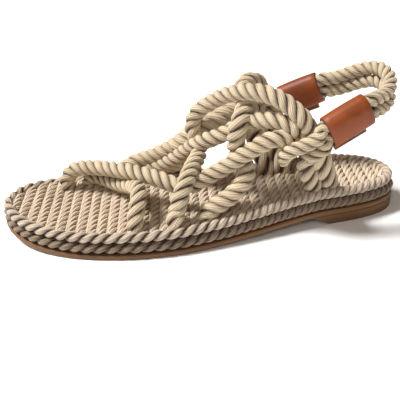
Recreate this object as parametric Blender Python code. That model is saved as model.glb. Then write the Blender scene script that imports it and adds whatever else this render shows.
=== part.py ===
"""Rope sandal, left shoe.

Frame: metres, +Z up, sole on z = 0. The toe points to -X, the heel to +X, the inner (medial)
side to +Y and the outer (lateral) side to -Y. The origin is under the middle of the sole.
"""
import math

import bmesh
import bpy
import numpy as np
from mathutils import Vector, geometry

# Sole
LENGTH = 0.2525
BALL_WIDTH = 0.0915
TOE_SPRING = 0.0060
HEEL_HEIGHT = 0.0065
OUTSOLE_THICKNESS = 0.0032
MIDSOLE_THICKNESS = 0.0064
BORDER_DIAMETER = 0.0064
BORDER_INSET = 0.0018
OUTSOLE_INSET = 0.0010
HEEL_INSET = 0.0014
HEEL_BREAST = 0.770
HEEL_BREAST_SLANT = 0.0100
EDGE_SOFTNESS = 0.0005

# Woven mat
MAT_THICKNESS = 0.0056
MAT_ROW_PITCH = 0.0063
MAT_ROW_RELIEF = 0.0011
MAT_TIP_TRIM = 0.0010
MAT_ROW_SHAPE = [
    # share of the pitch, share of the relief
    (0.00, 0.0),
    (0.27, 1.0),
    (0.73, 1.0),
]

# Ropes
STRAP_DIAMETER = 0.0108
SLING_DIAMETER = 0.0080
STRAND_LEAD = 0.0225
STRAND_GROOVE = 0.84
STRAP_RISE = 0.066
ROOT_CLEARANCE = 0.0003
ROOT_STAND = 0.0025

# Leather sleeves
SLEEVE_WALL = 0.0014
SLEEVE_CLEARANCE = 0.0003
SLEEVE_LIP = 0.0025
FLAP_DROP = 0.0032
FLAP_THICKNESS = 0.0028
FLAP_SHARE = 0.80

GAP = 0.0003

# Sampling
RING_POINTS = 72
BORDER_SIDES = 8
HEEL_POINTS = 26
STRAND_STEPS = 6
OVAL_ARC_POINTS = 7
SOCKET_SIDES = 10

# Plan outline of the sole. along: share of LENGTH from the toe. lateral, medial: shares of
# BALL_WIDTH from the centre line. The first and last rows are the two tips, one point each.
OUTLINE = [
    # along, lateral, medial
    (0.000, -0.045, 0.045),
    (0.016, 0.085, 0.205),
    (0.040, 0.185, 0.300),
    (0.080, 0.285, 0.375),
    (0.130, 0.365, 0.425),
    (0.190, 0.430, 0.460),
    (0.260, 0.475, 0.490),
    (0.340, 0.500, 0.500),
    (0.440, 0.490, 0.450),
    (0.540, 0.440, 0.390),
    (0.640, 0.375, 0.358),
    (0.760, 0.292, 0.348),
    (0.860, 0.250, 0.345),
    (0.930, 0.200, 0.285),
    (0.972, 0.135, 0.205),
    (0.993, 0.055, 0.115),
    (1.000, -0.020, 0.020),
]

# Underside of the outsole. along: share of LENGTH. toe: share of TOE_SPRING. heel: share of
# HEEL_HEIGHT.
BOTTOM = [
    # along, toe, heel
    (0.000, 1.000, 0.000),
    (0.060, 0.530, 0.000),
    (0.140, 0.160, 0.000),
    (0.240, 0.000, 0.000),
    (0.440, 0.000, 0.000),
    (0.500, 0.000, 0.060),
    (0.600, 0.000, 0.310),
    (0.720, 0.000, 0.740),
    (0.820, 0.000, 1.000),
    (1.000, 0.000, 1.000),
]

# Rope paths. along: share of LENGTH from the toe. across: share of BALL_WIDTH, inner side
# positive. rise: share of STRAP_RISE above the mat.
ROOTS = {
    # rope: along, across
    "toe_cross": (0.148, 0.246),
    "toe_band": (0.345, -0.364),
    "instep_loop": (0.438, -0.374),
    "instep_riser": (0.514, -0.318),
    "instep_diagonal": (0.352, 0.340),
    "inner_riser": (0.300, 0.338),
    "inner_prop": (0.405, 0.345),
}

PATHS = {
    "toe_cross": [
        (0.165, 0.251, 0.120),
        (0.191, 0.235, 0.204),
        (0.234, 0.180, 0.246),
        (0.277, 0.115, 0.268),
        (0.325, 0.027, 0.288),
        (0.373, -0.060, 0.293),
        (0.414, -0.126, 0.276),
        (0.451, -0.172, 0.240),
        (0.485, -0.190, 0.240),
        (0.520, -0.190, 0.304),
        (0.559, -0.196, 0.379),
        (0.592, -0.209, 0.453),
        (0.625, -0.226, 0.532),
        (0.656, -0.248, 0.602),
        (0.687, -0.265, 0.634),
        (0.713, -0.265, 0.593),
        (0.732, -0.259, 0.520),
    ],
    "toe_band": [
        (0.352, -0.325, 0.147),
        (0.358, -0.259, 0.214),
        (0.355, -0.160, 0.238),
        (0.337, -0.050, 0.190),
        (0.301, 0.072, 0.135),
        (0.262, 0.182, 0.112),
        (0.232, 0.246, 0.092),
    ],
    "instep_loop": [
        (0.445, -0.339, 0.105),
        (0.453, -0.322, 0.210),
        (0.466, -0.284, 0.297),
        (0.477, -0.213, 0.352),
        (0.490, -0.115, 0.378),
        (0.504, -0.005, 0.388),
        (0.511, 0.082, 0.415),
        (0.506, 0.137, 0.479),
        (0.498, 0.158, 0.569),
        (0.501, 0.164, 0.661),
        (0.517, 0.154, 0.764),
        (0.552, 0.116, 0.856),
        (0.587, 0.039, 0.941),
        (0.626, -0.061, 0.991),
        (0.661, -0.138, 0.994),
        (0.691, -0.204, 0.954),
        (0.717, -0.248, 0.880),
        (0.738, -0.276, 0.798),
        (0.752, -0.281, 0.701),
        (0.756, -0.270, 0.599),
    ],
    "instep_riser": [
        (0.552, -0.303, 0.122),
        (0.582, -0.281, 0.177),
        (0.606, -0.237, 0.252),
        (0.616, -0.176, 0.313),
        (0.607, -0.121, 0.383),
        (0.596, -0.110, 0.483),
        (0.596, -0.138, 0.620),
        (0.604, -0.138, 0.750),
        (0.617, -0.066, 0.813),
        (0.626, 0.028, 0.860),
        (0.624, 0.149, 0.894),
        (0.631, 0.226, 0.912),
        (0.650, 0.278, 0.916),
        (0.670, 0.312, 0.866),
        (0.681, 0.328, 0.760),
        (0.684, 0.334, 0.645),
    ],
    "instep_diagonal": [
        (0.369, 0.344, 0.080),
        (0.405, 0.306, 0.130),
        (0.442, 0.235, 0.221),
        (0.477, 0.153, 0.356),
        (0.508, 0.066, 0.477),
        (0.542, -0.005, 0.560),
        (0.575, -0.044, 0.617),
        (0.604, -0.060, 0.674),
        (0.636, -0.105, 0.732),
        (0.666, -0.165, 0.757),
        (0.693, -0.215, 0.759),
        (0.716, -0.248, 0.721),
        (0.733, -0.259, 0.652),
        (0.746, -0.248, 0.552),
    ],
    "inner_riser": [
        (0.325, 0.355, 0.128),
        (0.366, 0.361, 0.176),
        (0.391, 0.344, 0.210),
        (0.422, 0.317, 0.266),
        (0.450, 0.290, 0.328),
        (0.472, 0.262, 0.389),
        (0.501, 0.240, 0.474),
        (0.533, 0.235, 0.576),
        (0.568, 0.257, 0.643),
        (0.602, 0.290, 0.673),
        (0.639, 0.317, 0.664),
        (0.668, 0.333, 0.604),
        (0.683, 0.333, 0.509),
    ],
    "inner_prop": [
        (0.424, 0.340, 0.115),
        (0.452, 0.301, 0.165),
        (0.480, 0.235, 0.258),
        (0.502, 0.165, 0.375),
    ],
}

# The band's far end goes down through the mat on the inner side.
BAND_END = (0.212, 0.282)

# Side loop and sling ends on the outer side. The inner side mirrors them, set INNER_SHIFT of
# LENGTH nearer the toe and scaled in height by INNER_RISE.
INNER_SHIFT = 0.095
INNER_RISE = 0.974
LOOP_ROOTS = {
    # leg: along, across
    "front": (0.776, -0.170),
    "rear": (0.817, -0.152),
}
LOOP_LEGS = {
    "front": [
        (0.766, -0.204, 0.160),
        (0.755, -0.246, 0.301),
        (0.754, -0.279, 0.425),
        (0.766, -0.292, 0.520),
    ],
    "rear": [
        (0.806, -0.195, 0.150),
        (0.791, -0.244, 0.295),
        (0.778, -0.276, 0.420),
        (0.768, -0.292, 0.525),
    ],
}
SLING_HOOK = [
    (0.772, -0.346, 0.644),
    (0.745, -0.356, 0.593),
    (0.716, -0.350, 0.558),
    (0.700, -0.318, 0.500),
    (0.699, -0.262, 0.410),
]
SLING_TUCK = [
    (0.789, -0.340, 0.537),
    (0.767, -0.336, 0.474),
    (0.747, -0.308, 0.420),
]

# Axes of the two sleeves, and the heel sling between them.
SLEEVES = {
    # side: mouth, end
    "outer": ((0.791, -0.322, 0.652), (0.884, -0.262, 0.806)),
    "inner": ((0.731, 0.311, 0.635), (0.820, 0.240, 0.768)),
}
HEEL_SLING = [
    (0.915, -0.213, 0.818),
    (0.936, -0.158, 0.826),
    (0.952, -0.082, 0.860),
    (0.953, 0.016, 0.905),
    (0.938, 0.104, 0.918),
    (0.910, 0.169, 0.878),
    (0.879, 0.210, 0.822),
    (0.854, 0.228, 0.790),
]


def clear_scene():
    for item in list(bpy.data.objects):
        bpy.data.objects.remove(item, do_unlink=True)


def material(name, colour, roughness):
    finish = bpy.data.materials.new(name)
    finish.use_nodes = True
    shader = finish.node_tree.nodes["Principled BSDF"]
    shader.inputs["Base Color"].default_value = (*colour, 1.0)
    shader.inputs["Roughness"].default_value = roughness
    shader.inputs["Metallic"].default_value = 0.0
    finish.diffuse_color = (*colour, 1.0)
    return finish


def add_object(name, vertices, faces, finish):
    """One closed mesh object of flat triangles with its faces turned outwards."""
    mesh = bpy.data.meshes.new(name)
    mesh.from_pydata([tuple(v) for v in vertices], [], faces)
    shape = bmesh.new()
    shape.from_mesh(mesh)
    bmesh.ops.triangulate(shape, faces=shape.faces)
    bmesh.ops.recalc_face_normals(shape, faces=shape.faces)
    if shape.calc_volume(signed=True) < 0.0:
        bmesh.ops.reverse_faces(shape, faces=shape.faces)
    shape.to_mesh(mesh)
    shape.free()
    mesh.shade_smooth()
    mesh.set_sharp_from_angle(angle=math.radians(50.0))
    mesh.materials.append(finish)
    item = bpy.data.objects.new(name, mesh)
    bpy.context.scene.collection.objects.link(item)
    return item


def boolean(target, tool, operation):
    """Adds an exact Boolean and turns its tool into a guide."""
    step = target.modifiers.new(tool.name, "BOOLEAN")
    step.operation = operation
    step.solver = "EXACT"
    step.object = tool
    tool.hide_render = True
    tool.display_type = "WIRE"


def read_table(rows, column, at):
    """Smooth value of one column, with no overshoot between rows."""
    xs = [row[0] for row in rows]
    ys = [row[column] for row in rows]
    steps = [(ys[i + 1] - ys[i]) / (xs[i + 1] - xs[i]) for i in range(len(xs) - 1)]
    slopes = [steps[0]]
    for before, after in zip(steps, steps[1:]):
        flat = before * after <= 0.0
        slopes.append(0.0 if flat else 2.0 * before * after / (before + after))
    slopes.append(steps[-1])
    at = min(max(at, xs[0]), xs[-1])
    i = max(k for k in range(len(xs) - 1) if xs[k] <= at)
    span = xs[i + 1] - xs[i]
    t = (at - xs[i]) / span
    return ((1 + 2 * t) * (1 - t) ** 2 * ys[i] + t * (1 - t) ** 2 * span * slopes[i]
            + t * t * (3 - 2 * t) * ys[i + 1] - t * t * (1 - t) * span * slopes[i + 1])


def bottom(x):
    """Height of the outsole's underside at x."""
    share = x / LENGTH + 0.5
    return TOE_SPRING * read_table(BOTTOM, 1, share) + HEEL_HEIGHT * read_table(BOTTOM, 2, share)


MIDSOLE_BASE = OUTSOLE_THICKNESS + GAP
MAT_BASE = MIDSOLE_BASE + MIDSOLE_THICKNESS + GAP


def mat_top(x):
    return bottom(x) + MAT_BASE + MAT_THICKNESS


def spline(points, closed=False, per_span=12):
    """Dense Catmull-Rom curve through the points."""
    points = [Vector(p) for p in points]
    count = len(points)
    if closed:
        spans = [[points[(i + k) % count] for k in (-1, 0, 1, 2)] for i in range(count)]
    else:
        ends = [2 * points[0] - points[1], *points, 2 * points[-1] - points[-2]]
        spans = [ends[i:i + 4] for i in range(count - 1)]
    curve = []
    for a, b, c, d in spans:
        for k in range(per_span):
            t = k / per_span
            curve.append(0.5 * (2 * b + (c - a) * t + (2 * a - 5 * b + 4 * c - d) * t * t
                                + (3 * b - a - 3 * c + d) * t ** 3))
    if not closed:
        curve.append(points[-1])
    return curve


def resample(curve, count, closed=False):
    """Points at even distances along a dense curve."""
    array = np.array([tuple(p) for p in (curve + [curve[0]] if closed else curve)])
    lengths = np.concatenate(([0.0], np.cumsum(np.linalg.norm(np.diff(array, axis=0), axis=1))))
    marks = np.linspace(0.0, lengths[-1], count + 1 if closed else count)
    axes = [np.interp(marks, lengths, array[:, k]) for k in range(3)]
    even = [Vector(p) for p in zip(*axes)]
    return even[:-1] if closed else even


def curve_length(curve):
    return sum((b - a).length for a, b in zip(curve, curve[1:]))


def plan_outline():
    """Closed plan curve of the sole from the toe along the inner side and back."""
    inner = [(row[0], row[2]) for row in OUTLINE]
    outer = [(row[0], -row[1]) for row in reversed(OUTLINE[1:-1])]
    shares = spline([(a, b, 0.0) for a, b in inner + outer], closed=True)
    low = [min(p[k] for p in shares) for k in range(2)]
    high = [max(p[k] for p in shares) for k in range(2)]
    scale = [LENGTH / (high[0] - low[0]), BALL_WIDTH / (high[1] - low[1])]
    middle = [(high[k] + low[k]) / 2 for k in range(2)]
    return [Vector(((p.x - middle[0]) * scale[0], (p.y - middle[1]) * scale[1], 0.0))
            for p in shares]


def inset_ring(distance, count):
    """Outline moved inwards, evenly sampled, starting at the toe."""
    outline = resample(plan_outline(), count * 4, closed=True)
    moved = []
    for i, point in enumerate(outline):
        along = outline[(i + 1) % len(outline)] - outline[i - 1]
        moved.append(point + Vector((along.y, -along.x, 0.0)).normalized() * distance)
    ring = resample(moved, count, closed=True)
    start = min(range(count), key=lambda k: ring[k].x)
    return ring[start:] + ring[:start]


def side_widths(distance):
    """Functions of x for the outer and inner edge of the inset outline."""
    ring = inset_ring(distance, RING_POINTS * 4)
    last = max(range(len(ring)), key=lambda k: ring[k].x)
    inner = ring[:last + 1]
    outer = [ring[0]] + ring[:last - 1:-1]
    tables = []
    for side in (outer, inner):
        xs = np.maximum.accumulate([p.x for p in side])
        tables.append((xs, [p.y for p in side]))
    outer_edge, inner_edge = [lambda x, t=t: float(np.interp(x, t[0], t[1])) for t in tables]
    return outer_edge, inner_edge, ring[0].x, ring[last].x


def cap_faces(first, count, flip):
    """Strips across a ring of even count that starts at one tip."""
    half = count // 2
    faces = [(first, first + 1, first + count - 1)]
    for i in range(1, half - 1):
        faces.append((first + i, first + i + 1, first + count - i - 1, first + count - i))
    faces.append((first + half - 1, first + half, first + half + 1))
    return [face[::-1] for face in faces] if flip else faces


def wall_faces(first, second, count, closed=True):
    """Strip of quads between two rings or two open rows."""
    spans = count if closed else count - 1
    return [(first + i, first + (i + 1) % count, second + (i + 1) % count, second + i)
            for i in range(spans)]


def plate(name, profile, base, height, finish):
    """Solid under the whole foot. profile rows: inset, share of height."""
    vertices = []
    for inset, share in profile:
        for point in inset_ring(inset, RING_POINTS):
            vertices.append((point.x, point.y, bottom(point.x) + base + height * share))
    faces = cap_faces(0, RING_POINTS, True)
    for level in range(len(profile) - 1):
        faces += wall_faces(level * RING_POINTS, (level + 1) * RING_POINTS, RING_POINTS)
    faces += cap_faces((len(profile) - 1) * RING_POINTS, RING_POINTS, False)
    return add_object(name, vertices, faces, finish)


def round_side(thickness, steps):
    """Profile of a half-round side."""
    radius = thickness / 2
    rows = []
    for k in range(steps + 1):
        angle = math.pi * (k / steps - 0.5)
        rows.append((radius * (1.0 - math.cos(angle)), 0.5 + 0.5 * math.sin(angle)))
    return rows


def make_heel(finish):
    """Rubber block with a slanted front, under the back of the outsole."""
    ring = inset_ring(HEEL_INSET, RING_POINTS * 4)
    rows = []
    for shift in (HEEL_BREAST_SLANT, 0.0):
        front = (HEEL_BREAST - 0.5) * LENGTH + shift
        chain = [p for p in ring if p.x >= front]
        rows.append(resample(chain, HEEL_POINTS))
    vertices = [(p.x, p.y, 0.0) for p in rows[0]]
    vertices += [(p.x, p.y, bottom(p.x) - GAP) for p in rows[1]]
    faces = wall_faces(0, HEEL_POINTS, HEEL_POINTS, closed=True)
    half = HEEL_POINTS // 2
    for first in (0, HEEL_POINTS):
        for i in range(half - 1):
            last = HEEL_POINTS - 1 - i
            faces.append((first + i, first + i + 1, first + last - 1, first + last))
    return add_object("heel", vertices, faces, finish)


def make_mat(finish):
    """Woven mat: transverse rope rows as ribs, one rib for each row."""
    outer_edge, inner_edge, start, end = side_widths(BORDER_INSET + BORDER_DIAMETER + GAP)
    start += MAT_TIP_TRIM
    end -= MAT_TIP_TRIM
    rows = round((end - start) / MAT_ROW_PITCH)
    count = rows * len(MAT_ROW_SHAPE)
    vertices = []
    for i in range(count + 1):
        step, height = MAT_ROW_SHAPE[i % len(MAT_ROW_SHAPE)]
        row = i // len(MAT_ROW_SHAPE) + step
        x = start + (end - start) * row / rows
        low = bottom(x) + MAT_BASE
        high = low + MAT_THICKNESS - MAT_ROW_RELIEF * (1.0 - height)
        outer, inner = outer_edge(x), inner_edge(x)
        vertices += [(x, outer, low), (x, inner, low), (x, inner, high), (x, outer, high)]
    faces = [(0, 1, 2, 3), tuple(count * 4 + k for k in (3, 2, 1, 0))]
    for i in range(count):
        faces += wall_faces(i * 4, i * 4 + 4, 4)
    return add_object("insole_mat", vertices, faces, finish)


def frames(points, closed=False):
    """Tangents and turned-along side vectors of a path."""
    count = len(points)
    tangents = []
    for i in range(count):
        before = points[i - 1] if closed or i else points[0]
        after = points[(i + 1) % count] if closed or i < count - 1 else points[-1]
        tangents.append((after - before).normalized())
    side = tangents[0].orthogonal().normalized()
    if abs(tangents[0].z) < 0.9:
        side = tangents[0].cross(Vector((0.0, 0.0, 1.0))).normalized()
    sides = [side]
    for tangent in tangents[1:]:
        side = (side - tangent * side.dot(tangent)).normalized()
        sides.append(side)
    return tangents, sides


def make_border(finish):
    """Rope ring laid round the mat."""
    radius = BORDER_DIAMETER / 2
    ring = inset_ring(BORDER_INSET + radius, RING_POINTS)
    points = [Vector((p.x, p.y, bottom(p.x) + MAT_BASE + radius)) for p in ring]
    vertices = []
    for i, point in enumerate(points):
        tangent = points[(i + 1) % RING_POINTS] - points[i - 1]
        side = Vector((tangent.y, -tangent.x, 0.0)).normalized()
        for k in range(BORDER_SIDES):
            angle = 2.0 * math.pi * (k + 0.5) / BORDER_SIDES
            offset = side * math.cos(angle) + Vector((0.0, 0.0, 1.0)) * math.sin(angle)
            vertices.append(point + offset * radius)
    faces = []
    for i in range(RING_POINTS):
        following = (i + 1) % RING_POINTS
        faces += wall_faces(i * BORDER_SIDES, following * BORDER_SIDES, BORDER_SIDES)
    return add_object("border_rope", vertices, faces, finish)


def rope(name, curve, diameter, finish):
    """Three-strand rope: a three-lobed section that turns along a dense curve."""
    step = STRAND_LEAD / STRAND_STEPS
    count = max(3, round(curve_length(curve) / step) + 1)
    points = resample(curve, count)
    tangents, sides = frames(points)
    vertices = []
    for i, point in enumerate(points):
        turned = 2.0 * math.pi * i / STRAND_STEPS
        other = tangents[i].cross(sides[i])
        for k in range(6):
            angle = turned + k * math.pi / 3
            radius = diameter / 2 * (STRAND_GROOVE if k % 2 else 1.0)
            offset = sides[i] * math.cos(angle) + other * math.sin(angle)
            vertices.append(point + offset * radius)
    faces = [tuple(range(6)), tuple((count - 1) * 6 + k for k in reversed(range(6)))]
    for i in range(count - 1):
        faces += wall_faces(i * 6, i * 6 + 6, 6)
    return add_object(name, vertices, faces, finish)


def place(row):
    """Point from shares along, across and rise."""
    x = (row[0] - 0.5) * LENGTH
    return Vector((x, row[1] * BALL_WIDTH, mat_top(x) + row[2] * STRAP_RISE))


def root_points(root):
    """Straight start of a rope in its hole: the floor of the hole, then above the mat."""
    x, y = (root[0] - 0.5) * LENGTH, root[1] * BALL_WIDTH
    floor = bottom(x) + MAT_BASE + ROOT_CLEARANCE
    top = mat_top(x) + ROOT_STAND
    return [Vector((x, y, floor)), Vector((x, y, (floor + top) / 2)), Vector((x, y, top))]


def to_side(row, side):
    """An outer-side row as it is, or mirrored for the inner side."""
    if side == "outer":
        return row
    return (row[0] - INNER_SHIFT, -row[1], *[rise * INNER_RISE for rise in row[2:]])


def sleeve_axis(side):
    """Mouth and end of a sleeve, its direction and its upward vector."""
    mouth, end = [place(row) for row in SLEEVES[side]]
    along = (end - mouth).normalized()
    up = (Vector((0.0, 0.0, 1.0)) - along * along.z).normalized()
    return mouth, end, along, up


SLING_OFFSET = (SLING_DIAMETER + GAP) / 2


def sling_start(side, level):
    """Hidden start of a sling rope at the sleeve's middle, then just past the mouth."""
    mouth, end, along, up = sleeve_axis(side)
    offset = up * SLING_OFFSET * level
    middle = (mouth + end) / 2 - along * GAP / 2
    return [middle + offset, mouth + offset, mouth - along * SLEEVE_LIP + offset]


def make_upper(finish):
    """All straps in front of the sleeves, joined where they cross or meet."""
    ropes = []
    for name, rows in PATHS.items():
        points = root_points(ROOTS[name]) + [place(row) for row in rows]
        if name == "toe_band":
            points += reversed(root_points(BAND_END))
        ropes.append(rope("upper" if not ropes else "strap_" + name, spline(points),
                          STRAP_DIAMETER, finish))
    for side in SLEEVES:
        for leg, rows in LOOP_LEGS.items():
            points = root_points(to_side(LOOP_ROOTS[leg], side))
            points += [place(to_side(row, side)) for row in rows]
            ropes.append(rope("loop_%s_%s" % (side, leg), spline(points), STRAP_DIAMETER, finish))
        for name, level, rows in (("hook", 1, SLING_HOOK), ("tuck", -1, SLING_TUCK)):
            points = sling_start(side, level) + [place(to_side(row, side)) for row in rows]
            ropes.append(rope("%s_%s" % (name, side), spline(points), SLING_DIAMETER, finish))
    for other in ropes[1:]:
        boolean(ropes[0], other, "UNION")
    return ropes[0]


def make_heel_ropes(finish):
    """Two parallel ropes from sleeve to sleeve round the heel, one over the other."""
    outer_mouth, outer_end, outer_along, _ = sleeve_axis("outer")
    inner_mouth, inner_end, inner_along, _ = sleeve_axis("inner")
    middle = [
        (outer_mouth + outer_end) / 2 + outer_along * GAP / 2,
        outer_end,
        outer_end + outer_along * SLEEVE_LIP,
        *[place(row) for row in HEEL_SLING],
        inner_end + inner_along * SLEEVE_LIP,
        inner_end,
        (inner_mouth + inner_end) / 2 + inner_along * GAP / 2,
    ]
    curve = spline(middle)
    for level, name in ((1, "heel_rope_top"), (-1, "heel_rope_low")):
        moved = []
        for i, point in enumerate(curve):
            tangent = curve[min(i + 1, len(curve) - 1)] - curve[max(i - 1, 0)]
            tangent.normalize()
            up = (Vector((0.0, 0.0, 1.0)) - tangent * tangent.z).normalized()
            moved.append(point + up * SLING_OFFSET * level)
        rope(name, moved, SLING_DIAMETER, finish)


def oval(half_height, radius):
    """Stadium outline around the two sling ropes, as (side, up) pairs."""
    points = []
    for centre, start in ((half_height - radius, 0.0), (radius - half_height, math.pi)):
        for k in range(OVAL_ARC_POINTS):
            angle = start + math.pi * k / (OVAL_ARC_POINTS - 1)
            points.append((radius * math.cos(angle), centre + radius * math.sin(angle)))
    return points


def make_sleeve(side, finish):
    """Leather tube wrapped round both sling ropes, its two edges glued in a flap below."""
    mouth, end, along, up = sleeve_axis(side)
    across = along.cross(up).normalized()
    radius = SLING_DIAMETER / 2 + SLEEVE_CLEARANCE
    height = SLING_OFFSET + radius
    outer = oval(height + SLEEVE_WALL, radius + SLEEVE_WALL)
    inner = oval(height, radius)
    count = len(outer)
    vertices = []
    for centre, loop in ((mouth, outer), (end, outer), (end, inner), (mouth, inner)):
        vertices += [centre + across * a + up * b for a, b in loop]
    faces = []
    for ring in range(4):
        faces += wall_faces(ring * count, (ring + 1) % 4 * count, count)
    sleeve = add_object("sleeve_" + side, vertices, faces, finish)

    reach = (end - mouth) * FLAP_SHARE
    top = -height - SLEEVE_WALL / 2
    low = top - SLEEVE_WALL / 2 - FLAP_DROP
    half = FLAP_THICKNESS / 2
    section = [(-half, top), (half, top), (half, low), (-half, low)]
    corners = [centre + across * a + up * b
               for centre in (mouth + along * GAP, mouth + reach) for a, b in section]
    faces = [(0, 1, 2, 3), (7, 6, 5, 4)] + wall_faces(0, 4, 4)
    boolean(sleeve, add_object("flap_" + side, corners, faces, finish), "UNION")
    return sleeve


def make_sockets(finish):
    """Holes in the mat and the border where ropes go down to the midsole, one for each loop."""
    groups = [[root] for root in (*ROOTS.values(), BAND_END)]
    groups += [[to_side(root, side) for root in LOOP_ROOTS.values()] for side in SLEEVES]
    radius = (STRAP_DIAMETER / 2 + ROOT_CLEARANCE) / math.cos(math.pi / SOCKET_SIDES)
    cutters = []
    for number, roots in enumerate(groups):
        circles = []
        for along, across in roots:
            x, y = (along - 0.5) * LENGTH, across * BALL_WIDTH
            for k in range(SOCKET_SIDES):
                turn = math.tau * (k + 0.5) / SOCKET_SIDES
                circles.append((x + radius * math.cos(turn), y + radius * math.sin(turn)))
        ring = [circles[i] for i in geometry.convex_hull_2d([Vector(p) for p in circles])]
        low = min(bottom(x) for x, _ in ring) + MAT_BASE - MIDSOLE_THICKNESS / 2
        high = max(mat_top(x) for x, _ in ring) + BORDER_DIAMETER
        vertices = [(x, y, z) for z in (low, high) for x, y in ring]
        sides = len(ring)
        faces = [tuple(range(sides)), tuple(range(sides, 2 * sides))]
        faces += wall_faces(0, sides, sides)
        cutters.append(add_object("socket_%d" % number, vertices, faces, finish))
    return cutters


def build():
    clear_scene()
    rubber = material("tan_rubber", (0.27, 0.15, 0.075), 0.62)
    jute = material("border_jute", (0.52, 0.40, 0.29), 0.92)
    weave = material("mat_cotton", (0.72, 0.60, 0.44), 0.92)
    cotton = material("rope_cotton", (0.80, 0.68, 0.50), 0.90)
    leather = material("tan_leather", (0.39, 0.10, 0.032), 0.42)

    plate("outsole", [(OUTSOLE_INSET + EDGE_SOFTNESS, 0.0), (OUTSOLE_INSET, 0.25),
                      (OUTSOLE_INSET, 0.75), (OUTSOLE_INSET + EDGE_SOFTNESS, 1.0)],
          0.0, OUTSOLE_THICKNESS, rubber)
    make_heel(rubber)
    plate("midsole", round_side(MIDSOLE_THICKNESS, 6), MIDSOLE_BASE, MIDSOLE_THICKNESS, jute)
    border = make_border(jute)
    mat = make_mat(weave)
    for cutter in make_sockets(weave):
        boolean(mat, cutter, "DIFFERENCE")
        boolean(border, cutter, "DIFFERENCE")
    make_upper(cotton)
    make_heel_ropes(cotton)
    for side in SLEEVES:
        make_sleeve(side, leather)


build()
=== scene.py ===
import math
import bmesh
import bpy
import numpy as np
from mathutils import Matrix, Vector


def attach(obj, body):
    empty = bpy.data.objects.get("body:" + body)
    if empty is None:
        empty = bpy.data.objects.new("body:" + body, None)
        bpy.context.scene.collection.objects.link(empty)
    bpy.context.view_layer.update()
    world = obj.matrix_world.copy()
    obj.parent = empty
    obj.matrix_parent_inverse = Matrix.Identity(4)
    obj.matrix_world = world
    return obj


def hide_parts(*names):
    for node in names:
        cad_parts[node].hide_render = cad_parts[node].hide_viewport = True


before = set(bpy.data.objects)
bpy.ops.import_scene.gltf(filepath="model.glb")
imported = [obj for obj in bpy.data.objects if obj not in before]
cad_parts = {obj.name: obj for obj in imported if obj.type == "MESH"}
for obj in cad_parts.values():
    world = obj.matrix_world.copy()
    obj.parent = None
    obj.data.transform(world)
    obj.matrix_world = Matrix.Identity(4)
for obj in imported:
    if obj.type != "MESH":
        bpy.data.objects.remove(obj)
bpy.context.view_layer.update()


# Outsole: a thin tan rubber sheet, moulded with toe spring and a lifted arch, and glued under
# the rope midsole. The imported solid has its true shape, so only its rubber is made here.
RUBBER = "#7C5A3A"
# Painted shade low on the side of the rubber: its colour, and the height where it fades out.
RUBBER_SHADE = "#553A24"
SHADED_HEIGHT = 0.007


def linear(code):
    """Linear colour with alpha from an sRGB hex code."""
    parts = [int(code[i:i + 2], 16) / 255.0 for i in (1, 3, 5)]
    return (*[c / 12.92 if c <= 0.04045 else ((c + 0.055) / 1.055) ** 2.4 for c in parts], 1.0)


def add_node(tree, kind, settings=None, inputs=None):
    """Adds a node, sets its options, and sets or links its inputs by name or number.

    A node that is given as an input stands for its first output.
    """
    item = tree.nodes.new(kind)
    for key, value in (settings or {}).items():
        setattr(item, key, value)
    for key, value in (inputs or {}).items():
        if isinstance(value, bpy.types.Node):
            value = value.outputs[0]
        if isinstance(value, bpy.types.NodeSocket):
            tree.links.new(value, item.inputs[key])
        else:
            item.inputs[key].default_value = value
    return item


def new_material(name, roughness, **constants):
    """Material, its node tree and its shader. constants: shader inputs, with _ for a space."""
    item = bpy.data.materials.new(name)
    item.use_nodes = True
    shader = item.node_tree.nodes["Principled BSDF"]
    shader.inputs["Roughness"].default_value = roughness
    for key, value in constants.items():
        shader.inputs[key.replace("_", " ")].default_value = value
    return item, item.node_tree, shader


def make_rubber():
    """Moulded rubber: matt and even, a little darker low on the side from painted shade, with fine
    grain.
    """
    item, tree, shader = new_material("moulded_tan_rubber", 0.62, Specular_IOR_Level=0.35)
    place = add_node(tree, "ShaderNodeTexCoord").outputs["Object"]

    # Painted shade darkens the side low down, in patches of uneven strength about 17 mm across, and
    # fades out 7 mm above the floor.
    height = add_node(tree, "ShaderNodeSeparateXYZ", None, {0: place}).outputs["Z"]
    low = add_node(tree, "ShaderNodeMapRange", None,
                   {"Value": height, "From Min": 0.0, "From Max": SHADED_HEIGHT,
                    "To Min": 0.55, "To Max": 0.0})
    patches = add_node(tree, "ShaderNodeTexNoise", None,
                       {"Vector": place, "Scale": 60.0, "Detail": 3.0, "Roughness": 0.55})
    uneven = add_node(tree, "ShaderNodeMapRange", None,
                      {"Value": patches, "From Min": 0.3, "From Max": 0.7,
                       "To Min": 0.6, "To Max": 1.2})
    low_shade = add_node(tree, "ShaderNodeMath", {"operation": "MULTIPLY"}, {0: low, 1: uneven})
    colour = add_node(tree, "ShaderNodeMix", {"data_type": "RGBA"},
                      {0: low_shade, 6: linear(RUBBER), 7: linear(RUBBER_SHADE)}).outputs[2]
    tree.links.new(colour, shader.inputs["Base Color"])

    # The mould leaves a grain of about 0.4 mm.
    grain = add_node(tree, "ShaderNodeTexNoise", None,
                     {"Vector": place, "Scale": 2600.0, "Detail": 3.0, "Roughness": 0.55})
    bump = add_node(tree, "ShaderNodeBump", None,
                    {"Strength": 0.25, "Distance": 0.0002, "Height": grain})
    tree.links.new(bump.outputs["Normal"], shader.inputs["Normal"])
    return item


rubber = make_rubber()
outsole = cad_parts["outsole"]
outsole.data.materials.clear()
outsole.data.materials.append(rubber)


# Heel: a low block of the same rubber with a slanted front, glued under the back of the
# outsole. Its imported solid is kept.
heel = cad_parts["heel"]
heel.data.materials.clear()
heel.data.materials.append(rubber)


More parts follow.
